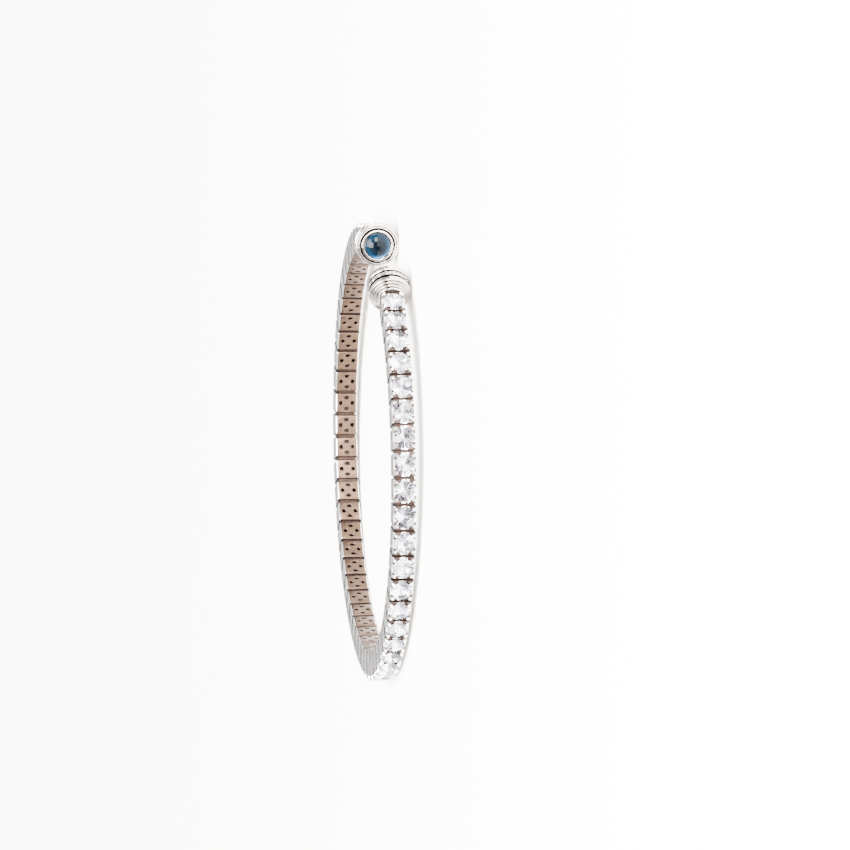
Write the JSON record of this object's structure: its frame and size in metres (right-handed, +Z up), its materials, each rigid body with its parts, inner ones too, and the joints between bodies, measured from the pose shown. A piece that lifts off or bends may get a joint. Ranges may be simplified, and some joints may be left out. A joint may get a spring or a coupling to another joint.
{
  "type": "open flexible tennis bracelet",
  "caption": "Open flexible cuff bracelet: square four-claw links with round clear stones on a spring core, ending in two stepped drums with domed blue stones.",
  "frame": {"origin": "centre of the bottom of the bounding box, on the surface that the bracelet lies on", "axes": "+Z up, across the band, as the bracelet lies on its side; the opening faces -Y; +X along the longer width of the oval loop"},
  "size_m": [0.0678, 0.0598, 0.0057],
  "materials": {
    "setting_metal": "bright rhodium-plated polish, slightly softened in the corners",
    "drum_metal": "bright turned and polished, rhodium-plated",
    "core_metal": "drawn spring steel strip",
    "clear_stone": "cut and polished clear stone",
    "blue_stone": "polished deep blue dome"
  },
  "bodies": {
    "root": {"link_01": "setting_metal", "link_02": "setting_metal", "link_03": "setting_metal", "link_04": "setting_metal", "link_05": "setting_metal", "link_06": "setting_metal", "link_07": "setting_metal", "link_08": "setting_metal", "link_09": "setting_metal", "link_10": "setting_metal", "link_11": "setting_metal", "link_12": "setting_metal", "link_13": "setting_metal", "link_14": "setting_metal", "link_15": "setting_metal", "link_16": "setting_metal", "link_17": "setting_metal", "link_18": "setting_metal", "link_19": "setting_metal", "link_20": "setting_metal", "link_21": "setting_metal", "link_22": "setting_metal", "link_23": "setting_metal", "link_24": "setting_metal", "link_25": "setting_metal", "link_26": "setting_metal", "link_27": "setting_metal", "link_28": "setting_metal", "link_29": "setting_metal", "link_30": "setting_metal", "link_31": "setting_metal", "link_32": "setting_metal", "link_33": "setting_metal", "link_34": "setting_metal", "link_35": "setting_metal", "link_36": "setting_metal", "link_37": "setting_metal", "link_38": "setting_metal", "link_39": "setting_metal", "link_40": "setting_metal", "link_41": "setting_metal", "link_42": "setting_metal", "link_43": "setting_metal", "link_44": "setting_metal", "link_45": "setting_metal", "link_46": "setting_metal", "link_47": "setting_metal", "link_48": "setting_metal", "link_49": "setting_metal", "link_50": "setting_metal", "link_51": "setting_metal", "spring_core": "core_metal", "left_drum": "drum_metal", "left_pave_ring": "clear_stone", "left_end_cap": "drum_metal", "left_domed_stone": "blue_stone", "right_drum": "drum_metal", "right_pave_ring": "clear_stone", "right_end_cap": "drum_metal", "right_domed_stone": "blue_stone"}
  },
  "joints": []
}
